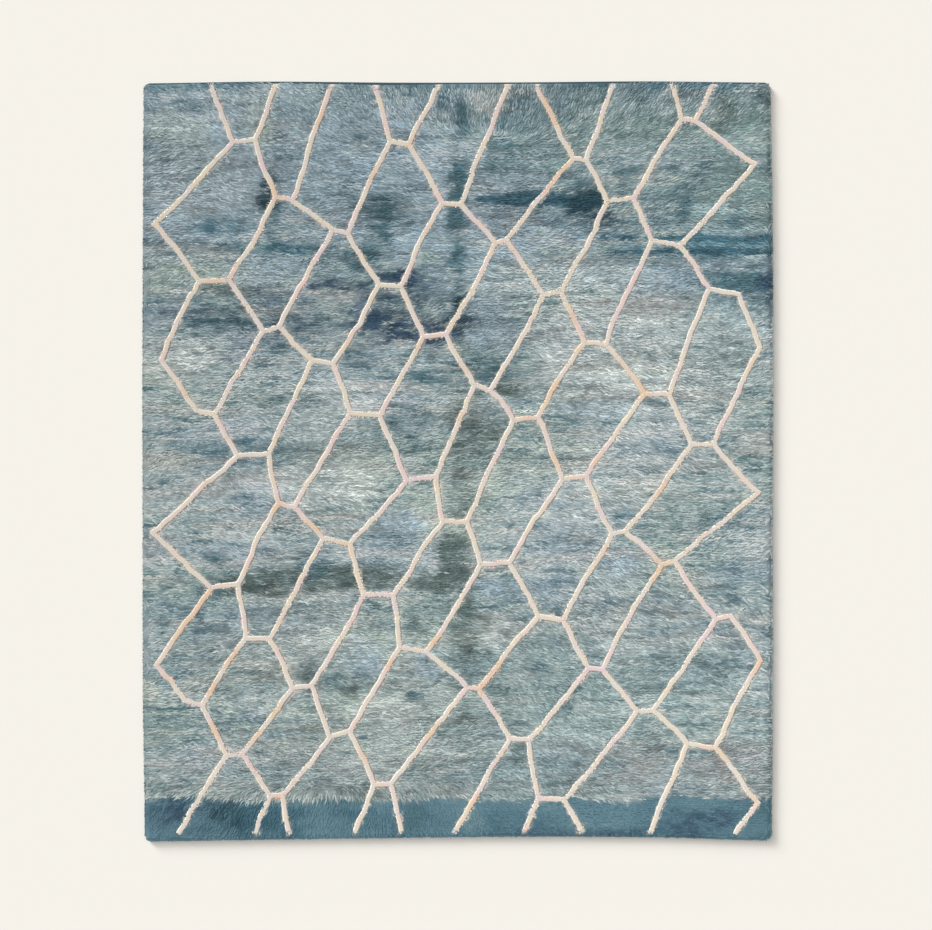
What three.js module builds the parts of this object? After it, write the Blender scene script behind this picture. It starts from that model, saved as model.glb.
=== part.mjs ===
// A hand-knotted wool pile rug, lying flat.
// The origin is the middle of the flat underside and +Z points up, out of the pile.
// +Y points to the end whose woven edge shows, and +X to the right of someone who looks down with that
// end away from them. Millimetres.
import * as THREE from "three";
import { mergeVertices } from "three/addons/utils/BufferGeometryUtils.js";

// Driving dimensions
const WIDTH = 2500;
const LENGTH = 3010;
const PILE_TOP = 24;
const CORNER_RADIUS = 20;
const CORNER_STEPS = 4;

// How far each edge stands out from the straight rectangle, at even steps along it.
// The sides go round from the lower left corner, anticlockwise from above. Pile locks hang over three of
// them, and the fourth is the bare woven end.
const SIDES = [
  { from: [-1, -1], to: [1, -1], locks: true, out: [8, 0, -6, -11, -9, 4] },
  { from: [1, -1], to: [1, 1], locks: true, out: [-6, -1, -2, 0, -2, -11] },
  { from: [1, 1], to: [-1, 1], locks: false, out: [-1, 4, 0, -1, 3, -4] },
  { from: [-1, 1], to: [-1, -1], locks: true, out: [-2, 1, 3, 2, 1, -7] },
];

// The edge's profile, from the underside up to the shoulder of the pile. Each line runs round the rug at a
// height and lies a little inside the outline, by one pair of numbers under the pile's overhang and by
// another at the woven end.
const PROFILE = [
  { line: "underside", pileInset: 9, pileHeight: 0, wovenInset: 1, wovenHeight: 0 },
  { line: "edge cord", pileInset: 6, pileHeight: 5, wovenInset: 0, wovenHeight: 4.5 },
  { line: "pile foot", pileInset: 5, pileHeight: 17, wovenInset: 12, wovenHeight: 6 },
  { line: "shoulder", pileInset: 14, pileHeight: 23, wovenInset: 18, wovenHeight: 21 },
];

// Locks at the rim, in the wall above the edge cord: one small four-sided tuft to a step, of uneven reach
// and slant
const LOCK_WALL = 1;
const LOCK_STEP = 30;
const LOCK_WIDTH = 13;
const LOCK_REACH = { least: 4, most: 11 };
const LOCK_SLANT = 7;
const LOCK_TIP_HEIGHT = 8;
const PLAIN_STEP = 62;

// The lumpy top: a grid of points inside the shoulder, each a little higher or lower
const FIELD_INSET = 62;
const FIELD_COLUMNS = 32;
const FIELD_ROWS = 38;
const SWELLS = [
  { acrossLength: 930, alongLength: 1270, height: 0.7, turn: 0.4 },
  { acrossLength: 410, alongLength: 560, height: 0.5, turn: 2.1 },
];
const LUMP = 2.2;

const HALF = new THREE.Vector2(WIDTH / 2, LENGTH / 2);
const ANTICLOCKWISE = new THREE.Vector2();

// A repeatable stream of even random numbers from 0 to 1
function seeded(seed) {
  let state = seed;
  return () => {
    state = (state * 1664525 + 1013904223) % 4294967296;
    return state / 4294967296;
  };
}

// One side of the outline: its waver is a smooth curve through the table's numbers
function sideLine(side) {
  const from = new THREE.Vector2(...side.from).multiply(HALF);
  const to = new THREE.Vector2(...side.to).multiply(HALF);
  const along = to.clone().sub(from).normalize();
  const outward = along.clone().rotateAround(ANTICLOCKWISE, -Math.PI / 2);
  const steps = side.out.length - 1;
  const waver = new THREE.SplineCurve(side.out.map((out, i) => new THREE.Vector2(i / steps, out)));
  const length = from.distanceTo(to);
  const at = (distance) => {
    const out = waver.getPoint(distance / length).y;
    return from.clone().addScaledVector(along, distance).addScaledVector(outward, out);
  };
  return { at, along, outward, length, locks: side.locks };
}

// Where the outline is cut along a side, from the end of one corner on: the two edges of each lock, or
// plain steps at the woven end
function cutsAlong(line) {
  const run = line.length - 2 * CORNER_RADIUS;
  const count = Math.round(run / (line.locks ? LOCK_STEP : PLAIN_STEP));
  const step = run / count;
  const cuts = [{ distance: CORNER_RADIUS, lock: false }];
  for (let i = 0; i < count; i++) {
    const middle = CORNER_RADIUS + (i + 0.5) * step;
    if (line.locks) {
      cuts.push({ distance: middle - LOCK_WIDTH / 2, lock: true });
      cuts.push({ distance: middle + LOCK_WIDTH / 2, lock: false });
    } else {
      cuts.push({ distance: middle, lock: false });
    }
  }
  return cuts;
}

// The whole outline as stations: a place, the way out of the rug there, how much it is a woven end, and
// whether a lock grows between it and the next
function outlineStations() {
  const lines = SIDES.map(sideLine);
  const stations = [];
  lines.forEach((line, i) => {
    const woven = line.locks ? 0 : 1;
    for (const cut of cutsAlong(line)) {
      stations.push({ place: line.at(cut.distance), outward: line.outward, woven, lock: cut.lock });
    }
    const next = lines[(i + 1) % lines.length];
    const nextWoven = next.locks ? 0 : 1;
    const before = line.at(line.length - CORNER_RADIUS);
    const after = next.at(CORNER_RADIUS);
    const corner = before.clone().addScaledVector(line.along, CORNER_RADIUS);
    const bend = new THREE.QuadraticBezierCurve(before, corner, after);
    for (let step = 0; step < CORNER_STEPS; step++) {
      const share = step / CORNER_STEPS;
      stations.push({
        place: bend.getPoint(share),
        outward: line.outward.clone().lerp(next.outward, share).normalize(),
        woven: woven + (nextWoven - woven) * share,
        lock: false,
      });
    }
  });
  return stations;
}

// A line of the profile, taken round the whole outline
function ring(stations, row) {
  return stations.map(({ place, outward, woven }) => {
    const inset = row.pileInset + (row.wovenInset - row.pileInset) * woven;
    const height = row.pileHeight + (row.wovenHeight - row.pileHeight) * woven;
    return new THREE.Vector3(place.x - outward.x * inset, place.y - outward.y * inset, height);
  });
}

function addQuad(triangles, a, b, c, d) {
  triangles.push(a, b, c, a, c, d);
}

// The wall between two rings, lower one first, with a lock's four faces where one grows
function addWall(triangles, lower, upper, stations, withLocks, random) {
  lower.forEach((a, i) => {
    const next = (i + 1) % lower.length;
    const [b, c, d] = [lower[next], upper[next], upper[i]];
    if (!withLocks || !stations[i].lock) {
      addQuad(triangles, a, b, c, d);
      return;
    }
    const { outward } = stations[i];
    const reach = LOCK_REACH.least + (LOCK_REACH.most - LOCK_REACH.least) * random();
    const slant = LOCK_SLANT * (2 * random() - 1);
    const tip = a.clone().add(b).add(c).add(d).divideScalar(4);
    tip.x += outward.x * reach - outward.y * slant;
    tip.y += outward.y * reach + outward.x * slant;
    tip.z = LOCK_TIP_HEIGHT;
    triangles.push(a, b, tip, b, c, tip, c, d, tip, d, a, tip);
  });
}

// The pile's height inside the shoulder: long swells and one random lump to each point
function pileHeight(x, y, random) {
  const swell = SWELLS.reduce((sum, { acrossLength, alongLength, height, turn }) => {
    const across = Math.sin((2 * Math.PI * x) / acrossLength + turn);
    const along = Math.cos((2 * Math.PI * y) / alongLength);
    return sum + height * across * along;
  }, 0);
  return PILE_TOP + swell + LUMP * (2 * random() - 1);
}

// The points of the lumpy field, row by row
function fieldPoints(random) {
  const reach = HALF.clone().subScalar(FIELD_INSET);
  const rows = [];
  for (let j = 0; j <= FIELD_ROWS; j++) {
    const y = reach.y * ((2 * j) / FIELD_ROWS - 1);
    const row = [];
    for (let i = 0; i <= FIELD_COLUMNS; i++) {
      const x = reach.x * ((2 * i) / FIELD_COLUMNS - 1);
      row.push(new THREE.Vector3(x, y, pileHeight(x, y, random)));
    }
    rows.push(row);
  }
  return rows;
}

// The field's border, anticlockwise from its lower left corner
function fieldBorder(rows) {
  const last = rows.length - 1;
  const right = rows.map((row) => row[row.length - 1]);
  const left = rows.map((row) => row[0]);
  return [
    ...rows[0].slice(0, -1),
    ...right.slice(0, -1),
    ...rows[last].slice(1).reverse(),
    ...left.slice(1).reverse(),
  ];
}

function addField(triangles, rows) {
  for (let j = 0; j < FIELD_ROWS; j++) {
    for (let i = 0; i < FIELD_COLUMNS; i++) {
      const [a, b] = [rows[j][i], rows[j][i + 1]];
      const [c, d] = [rows[j + 1][i + 1], rows[j + 1][i]];
      if ((i + j) % 2) addQuad(triangles, a, b, c, d);
      else addQuad(triangles, b, c, d, a);
    }
  }
}

// The flat underside
function addUnderside(triangles, outline) {
  for (const [a, b, c] of THREE.ShapeUtils.triangulateShape(outline, [])) {
    triangles.push(outline[a], outline[c], outline[b]);
  }
}

// How far round a ring each of its points lies, as a share of the whole way, and 1 for the start again
function sharesRound(points) {
  const shares = [0];
  points.forEach((point, i) => {
    shares.push(shares[i] + point.distanceTo(points[(i + 1) % points.length]));
  });
  return shares.map((distance) => distance / shares[points.length]);
}

// The slope between two rings that start at the same corner, always joined on at the ring that lags
function addSlope(triangles, outer, inner) {
  const outerShares = sharesRound(outer);
  const innerShares = sharesRound(inner);
  let [i, j] = [0, 0];
  while (i < outer.length || j < inner.length) {
    const a = outer[i % outer.length];
    const b = inner[j % inner.length];
    if (j === inner.length || (i < outer.length && outerShares[i + 1] <= innerShares[j + 1])) {
      i += 1;
      triangles.push(a, outer[i % outer.length], b);
    } else {
      j += 1;
      triangles.push(a, inner[j % inner.length], b);
    }
  }
}

// The rug's solid: underside, edge walls with their locks, the slope up from the shoulder, and the field
function rugGeometry() {
  const random = seeded(41);
  const stations = outlineStations();
  const rings = PROFILE.map((row) => ring(stations, row));
  const rows = fieldPoints(random);
  const triangles = [];
  addUnderside(triangles, rings[0]);
  for (let i = 0; i + 1 < rings.length; i++) {
    addWall(triangles, rings[i], rings[i + 1], stations, i === LOCK_WALL, random);
  }
  addSlope(triangles, rings[rings.length - 1], fieldBorder(rows));
  addField(triangles, rows);
  const geometry = mergeVertices(new THREE.BufferGeometry().setFromPoints(triangles));
  geometry.computeBoundingBox();
  const middle = geometry.boundingBox.getCenter(new THREE.Vector3());
  geometry.translate(-middle.x, -middle.y, 0);
  geometry.computeVertexNormals();
  return geometry;
}

const wool = new THREE.MeshStandardMaterial({ color: 0x7f9ba3, roughness: 0.95, metalness: 0 });

const rug = new THREE.Mesh(rugGeometry(), wool);
rug.name = "pile_rug";

const object = new THREE.Group();
object.add(rug);

export default object;
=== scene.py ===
import math
from collections import Counter

import bmesh
import bpy
import numpy as np
from mathutils import Matrix, Vector


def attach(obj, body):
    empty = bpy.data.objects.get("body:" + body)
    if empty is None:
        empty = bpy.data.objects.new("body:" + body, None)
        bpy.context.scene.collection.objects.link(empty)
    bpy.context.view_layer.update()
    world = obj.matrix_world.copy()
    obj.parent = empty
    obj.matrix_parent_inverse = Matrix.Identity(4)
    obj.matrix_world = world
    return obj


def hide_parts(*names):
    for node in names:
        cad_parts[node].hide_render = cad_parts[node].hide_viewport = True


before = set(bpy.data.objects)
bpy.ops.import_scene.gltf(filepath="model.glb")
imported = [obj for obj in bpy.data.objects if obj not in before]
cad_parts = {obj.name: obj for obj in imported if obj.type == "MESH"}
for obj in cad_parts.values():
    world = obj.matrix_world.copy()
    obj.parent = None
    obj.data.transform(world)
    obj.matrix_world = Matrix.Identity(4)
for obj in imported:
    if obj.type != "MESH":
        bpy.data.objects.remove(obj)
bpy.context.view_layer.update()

# Sizes in metres, as in the rug's solid
MM = 0.001
WIDTH = 2.500
LENGTH = 3.010
CORNER_RADIUS = 20 * MM
# The middle of the straight rectangle, which the edges' waver puts a little off the middle of the solid
RUG_MIDDLE = (1.5 * MM, 4.7 * MM, 0)

# How far each edge stands out from the straight rectangle, in millimetres at even steps along it. The
# bottom and top run from left to right, the sides from bottom to top.
BOTTOM_EDGE = (8, 0, -6, -11, -9, 4)
TOP_EDGE = (-4, 3, -1, 0, 4, -1)
LEFT_EDGE = (-7, 1, 2, 3, 1, -2)
RIGHT_EDGE = (-6, -1, -2, 0, -2, -11)

# Seeded noise, over cells of a size across and along the rug in metres. A swing goes to either side by an
# amount: a length in metres, a share or an angle, but millimetres for a lock's own length and crest.
FIBRE_CELL = (7 * MM, 7 * MM)
SWINGS = {
    "line across, fine": {"by": 3.5 * MM, "cell": (0.034, 0.034), "seed": 201},
    "line across, broad": {"by": 5 * MM, "cell": (0.11, 0.11), "seed": 202},
    "line along, fine": {"by": 3.5 * MM, "cell": (0.034, 0.034), "seed": 203},
    "line along, broad": {"by": 5 * MM, "cell": (0.11, 0.11), "seed": 204},
    "ragged washes, broad": {"by": 0.38, "cell": (0.13, 0.045), "seed": 301},
    "ragged washes, fine": {"by": 0.30, "cell": (0.045, 0.018), "seed": 302},
    "fibres in washes": {"by": 1, "cell": FIBRE_CELL, "seed": 303},
    "uneven washes": {"by": 0.35, "cell": (0.07, 0.05), "seed": 304},
    "washes across": {"by": 16 * MM, "cell": (0.11, 0.07), "seed": 305},
    "washes along": {"by": 10 * MM, "cell": (0.16, 0.09), "seed": 306},
    "long streaks": {"by": 0.18, "cell": (0.36, 0.050), "seed": 311},
    "short streaks": {"by": 0.14, "cell": (0.20, 0.022), "seed": 312},
    "broad tones": {"by": 0.12, "cell": (0.80, 0.20), "seed": 313},
    "small tones": {"by": 0.09, "cell": (0.13, 0.10), "seed": 314},
    "green, broad": {"by": 1, "cell": (0.42, 0.12), "seed": 316},
    "green, fine": {"by": 0.5, "cell": (0.10, 0.05), "seed": 317},
    "fibres": {"by": 1, "cell": FIBRE_CELL, "seed": 318},
    "band border, broad": {"by": 14 * MM, "cell": (0.21, 1.0), "seed": 321},
    "band border, fine": {"by": 4 * MM, "cell": (0.04, 1.0), "seed": 322},
    "band depth": {"by": 0.30, "cell": (0.16, 0.06), "seed": 323},
    "lip": {"by": 2.5 * MM, "cell": (0.28, 1.0), "seed": 325},
    "bent partings": {"by": 5 * MM, "cell": (0.05, 0.05), "seed": 326},
    "line warmth": {"by": 1, "cell": (0.026, 0.026), "seed": 333},
    "line green": {"by": 1, "cell": (0.030, 0.030), "seed": 334},
    "brushed patches": {"by": math.radians(15), "cell": (0.42, 0.28), "seed": 341},
    "rows of knots": {"by": 3.5 * MM, "cell": (0.07, 0.030), "seed": 401},
    "lean to and fro": {"by": 1, "cell": (0.24, 0.12), "seed": 411},
    "lean, fine": {"by": 0.16, "cell": (0.055, 0.035), "seed": 412},
    "lean, broad": {"by": 0.14, "cell": (0.15, 0.10), "seed": 413},
    "lock length": {"by": 5, "cell": (0.03, 0.03), "seed": 421},
    "crest, fine": {"by": 0.5, "cell": (0.035, 0.024), "seed": 422},
    "crest, broad": {"by": 0.9, "cell": (0.3, 0.3), "seed": 423},
    "rim slant": {"by": 5 * MM, "cell": (0.05, 0.05), "seed": 431},
    "cord fullness": {"by": 0.10, "cell": (0.022, 0.022), "seed": 441},
}
# Patches come up where the noise is high, from nothing to their share between two of its values
PATCHES = {
    "oat": {"share": 0.45, "between": (0.50, 0.95), "cell": (0.24, 0.028), "seed": 319},
    # The partings are painted shade: short level dashes where the pile parts
    "partings": {"share": 0.42, "between": (0.58, 0.92), "cell": (0.065, 0.0095), "seed": 320},
    "blush": {"share": 1, "between": (0.50, 0.90), "cell": (0.07, 0.07), "seed": 331},
    "peach": {"share": 1, "between": (0.62, 0.95), "cell": (0.09, 0.09), "seed": 332},
}
LATTICE = (257, 263)
# Keeps every cell's number above zero
LATTICE_START = 1000.0


def smooth_noise(x, y, cell, seed):
    """Even noise from 0 to 1 that changes over about one cell, drawn on a lattice of random numbers."""
    u = x / cell[0] + LATTICE_START
    v = y / cell[1] + LATTICE_START
    column = np.floor(u).astype(np.int64)
    row = np.floor(v).astype(np.int64)
    lattice = np.random.default_rng(seed).random(LATTICE)

    def corner(i, j):
        return lattice[(column + i) % LATTICE[0], (row + j) % LATTICE[1]]

    s = (u - column) ** 2 * (3 - 2 * (u - column))
    t = (v - row) ** 2 * (3 - 2 * (v - row))
    low = corner(0, 0) * (1 - s) + corner(1, 0) * s
    high = corner(0, 1) * (1 - s) + corner(1, 1) * s
    return low * (1 - t) + high * t


def swing(x, y, name):
    field = SWINGS[name]
    return field["by"] * (2 * smooth_noise(x, y, field["cell"], field["seed"]) - 1)


def soft_step(low, high, value):
    """From 0 to 1 with soft ends, as the value goes from low to high."""
    share = np.clip((value - low) / (high - low), 0, 1)
    return share * share * (3 - 2 * share)


def patches(x, y, name):
    field = PATCHES[name]
    return field["share"] * soft_step(*field["between"], smooth_noise(x, y, field["cell"], field["seed"]))


def edge_waver(numbers, share):
    """A smooth curve through an edge's numbers, in metres, at shares of its length from 0 to 1."""
    points = np.array(numbers, float) * MM
    last = len(points) - 1
    place = np.clip(share, 0, 1) * last
    before = np.minimum(np.floor(place).astype(int), last - 1)
    t = place - before
    a = points[np.maximum(before - 1, 0)]
    b = points[before]
    c = points[before + 1]
    d = points[np.minimum(before + 2, last)]
    v0 = (c - a) / 2
    v1 = (d - b) / 2
    return (2 * b - 2 * c + v0 + v1) * t**3 + (-3 * b + 3 * c - 2 * v0 - v1) * t**2 + v0 * t + b


def sides_at(x, y):
    """The outline's left and right at y, and its bottom and top at x."""
    across = x / WIDTH + 0.5
    along = y / LENGTH + 0.5
    left = -WIDTH / 2 - edge_waver(LEFT_EDGE, along)
    right = WIDTH / 2 + edge_waver(RIGHT_EDGE, along)
    bottom = -LENGTH / 2 - edge_waver(BOTTOM_EDGE, across)
    top = LENGTH / 2 + edge_waver(TOP_EDGE, across)
    return left, right, bottom, top


def onto_outline(x, y, inset):
    """Points of the straight rectangle moved so that its edges become the outline, drawn in by inset."""
    left, right, bottom, top = sides_at(x, y)
    across = x / WIDTH + 0.5
    along = y / LENGTH + 0.5
    return (
        (left + inset) * (1 - across) + (right - inset) * across,
        (bottom + inset) * (1 - along) + (top - inset) * along,
    )


def corner_cut(x, y):
    """Points beyond the rounded corners of the straight rectangle, drawn back onto them."""
    beyond_x = np.abs(x) - (WIDTH / 2 - CORNER_RADIUS)
    beyond_y = np.abs(y) - (LENGTH / 2 - CORNER_RADIUS)
    reach = np.hypot(beyond_x, beyond_y)
    cut = (beyond_x > 0) & (beyond_y > 0) & (reach > CORNER_RADIUS)
    back = np.where(cut, CORNER_RADIUS / np.maximum(reach, CORNER_RADIUS), 1)
    x = np.where(cut, np.sign(x) * (WIDTH / 2 - CORNER_RADIUS + beyond_x * back), x)
    y = np.where(cut, np.sign(y) * (LENGTH / 2 - CORNER_RADIUS + beyond_y * back), y)
    return x, y


def rim_distance(x, y):
    """How far inside the pile's three free edges each point lies: left, right and bottom."""
    left, right, bottom, _ = sides_at(x, y)
    return x - left, right - x, y - bottom


def moved(x, y, heading, distance):
    """Points moved in plan by a distance along a heading."""
    return x + distance * np.cos(heading), y + distance * np.sin(heading)


# The net of pale lines, made by a rule, in knots from the middle of the rug. Rows of short level bars
# step down to the right, and a long line runs from each bar's left end to the right end of a bar in the
# next row. Near the sides a bar shrinks to a single turn.
KNOT = 12.5 * MM
NET_START = (-70, 101)
BAR_STEP = (15.6, -15.1)
ROW_STEP = (-6.5, -43)
NET_ROWS = range(-4, 6)
NET_BARS = range(-8, 22)
BAR_STRAY = (2.6, 3.4)
BAR_HALF_LENGTHS = (1.9, 4.8)
BAR_TILT = 0.8
TURN_BEYOND = 86
TURN_AT = (94, 98)
LINK_SWAY = 0.5
LONG_LINE_SWAY = 1.6
# Low down the cells crowd towards the left, by so many knots across and along. The crowding grows down to
# a depth, and fades across over a reach to either side.
CROWDING = (13, 12)
CROWDING_DEPTH = 120
CROWDING_REACH = 100
# Bars that would lie close to an end go beyond it, so that the lines run out of the rug
PUSHED_OUT_BEYOND = 109
PUSHED_OUT_BY = 14
LEFT_END, RIGHT_END = 0, 1
NET_SEED = 5
LINE_HALF_WIDTH = 10.7 * MM
LINE_TOOTH = 1.0 * MM
LINES_STOP_ABOVE = 20 * MM
BEYOND_ANY_LINE = 9.0


def net_bars(random):
    """Each bar's two ends, and whether it is more than a turn, by its row and its number in the row."""
    bars = {}
    for row in NET_ROWS:
        for number in NET_BARS:
            x = NET_START[0] + number * BAR_STEP[0] + row * ROW_STEP[0]
            y = NET_START[1] + number * BAR_STEP[1] + row * ROW_STEP[1]
            low = min(max(-y / CROWDING_DEPTH, 0), 1)
            x -= CROWDING[0] * low * max(1 - (x / CROWDING_REACH) ** 2, 0)
            y += CROWDING[1] * low * min(max(-x / CROWDING_REACH, 0), 1)
            x += random.uniform(-1, 1) * BAR_STRAY[0]
            y += random.uniform(-1, 1) * BAR_STRAY[1]
            if abs(y) > PUSHED_OUT_BEYOND:
                y += math.copysign(PUSHED_OUT_BY, y)
            half = random.uniform(*BAR_HALF_LENGTHS)
            tilt = random.uniform(-BAR_TILT, BAR_TILT)
            turn = math.copysign(random.uniform(*TURN_AT), x)
            if abs(x) < TURN_BEYOND:
                bars[row, number] = (x - half, y - tilt), (x + half, y + tilt), True
            else:
                bars[row, number] = (turn, y), (turn, y), False
    return bars


def net_lines(bars):
    """What joins the bars: the link to the next in the row and the long line to the next row.

    Each is the two bars, which end of each it meets, and its sway. A turn that only one line would reach is
    left out.
    """
    lines = []
    for row, number in bars:
        link = (row, number), (row, number + 1), (RIGHT_END, LEFT_END), LINK_SWAY
        long_line = (row, number), (row + 1, number - 1), (LEFT_END, RIGHT_END), LONG_LINE_SWAY
        for line in (link, long_line):
            if line[1] in bars and (bars[line[0]][2] or bars[line[1]][2]):
                lines.append(line)
    meetings = Counter(bar for line in lines for bar in line[:2])
    return [line for line in lines if min(meetings[line[0]], meetings[line[1]]) > 1]


def net_stretches():
    """Every straight stretch of the net, as two end points in metres."""
    random = np.random.default_rng(NET_SEED)
    bars = net_bars(random)
    stretches = [(left, right) for left, right, is_bar in bars.values() if is_bar]
    for first, second, (first_end, second_end), sway in net_lines(bars):
        start = bars[first][first_end]
        end = bars[second][second_end]
        aside = random.uniform(-sway, sway)
        middle = ((start[0] + end[0]) / 2 + aside, (start[1] + end[1]) / 2 + aside / 2)
        stretches += [(start, middle), (middle, end)]
    return np.array(stretches, float) * KNOT


def wander(x, y):
    """How far the net strays at each place from its straight stretches."""
    return (
        swing(x, y, "line across, fine") + swing(x, y, "line across, broad"),
        swing(x, y, "line along, fine") + swing(x, y, "line along, broad"),
    )


def nearest_line(x, y):
    """How far each point lies from the middle of the nearest pale line, and which way that line runs."""
    stray_x, stray_y = wander(x, y)
    wander_x = x + stray_x
    wander_y = y + stray_y
    nearest = np.full(len(x), BEYOND_ANY_LINE)
    heading = np.zeros(len(x))
    for (ax, ay), (bx, by) in net_stretches():
        along_x, along_y = bx - ax, by - ay
        share = ((wander_x - ax) * along_x + (wander_y - ay) * along_y) / (along_x**2 + along_y**2)
        share = np.clip(share, 0, 1)
        away = np.hypot(wander_x - ax - share * along_x, wander_y - ay - share * along_y)
        heading = np.where(away < nearest, math.atan2(along_y, along_x), heading)
        nearest = np.minimum(nearest, away)
    return nearest, heading


# How the pile was brushed. Near each end it fans out from a place in the rug, upright in line with it,
# and everywhere else it lies nearly level, slanted this way and that by patches and a little down to the
# right in the lower half.
FANS = [
    {"x": 0.15, "y": 0.85, "end": 1},
    {"x": -0.50, "y": -0.80, "end": -1},
]
FANNED_BETWEEN = (1.20, 1.42)
LOW_SLANT = math.radians(-6)
LOW_SLANT_BETWEEN = (0.2, -0.4)


def brushed_angle(x, y):
    """The way the pile lies at each point, as an angle to the rows. Opposite ways count as one."""
    slant = swing(x, y, "brushed patches") + LOW_SLANT * soft_step(*LOW_SLANT_BETWEEN, y)
    level, slanted = np.cos(2 * slant), np.sin(2 * slant)
    for fan in FANS:
        angle = np.arctan2(y - fan["y"], x - fan["x"])
        share = soft_step(*FANNED_BETWEEN, fan["end"] * y)
        level = level * (1 - share) + np.cos(2 * angle) * share
        slanted = slanted * (1 - share) + np.sin(2 * angle) * share
    return np.arctan2(slanted, level) / 2


FIBRE_STEPS = np.arange(-3, 4) * 6 * MM


def fibre_streaks(x, y, name):
    """Fine streaks of lighter and darker wool that run the way the pile was brushed."""
    angle = brushed_angle(x, y)
    streaks = [swing(*moved(x, y, angle, step), name) for step in FIBRE_STEPS]
    return sum(streaks) / len(streaks)


def dye(red, green, blue):
    """A linear colour from 8-bit numbers."""
    share = np.array((red, green, blue), float) / 255
    return np.where(share <= 0.04045, share / 12.92, ((share + 0.055) / 1.055) ** 2.4)


# The wool's colours, as the pile shows them in daylight
WOOLS = {
    "pale": dye(187, 193, 190),
    "mist": dye(163, 176, 176),
    "slate": dye(129, 150, 154),
    "haze": dye(145, 163, 172),
    "moss": dye(157, 170, 161),
    "bog": dye(90, 106, 103),
    "storm": dye(80, 109, 117),
    "teal": dye(80, 117, 130),
    "lichen": dye(122, 143, 143),
    "fog": dye(146, 147, 146),
    "oat": dye(184, 179, 173),
    "navy": dye(58, 80, 98),
    "ink": dye(46, 72, 82),
    "band": dye(100, 131, 141),
    "band deep": dye(68, 101, 114),
    "lip": dye(62, 82, 89),
    "ivory": dye(235, 226, 213),
    "blush": dye(236, 219, 213),
    "peach": dye(237, 213, 189),
}
# Gaps between the locks are dark, so the wool itself is lighter than the pile looks
PILE_LIFT = 1.125
NET_LIFT = 0.83
# The brightest that a wool may be
WHITEST = 0.95
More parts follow.
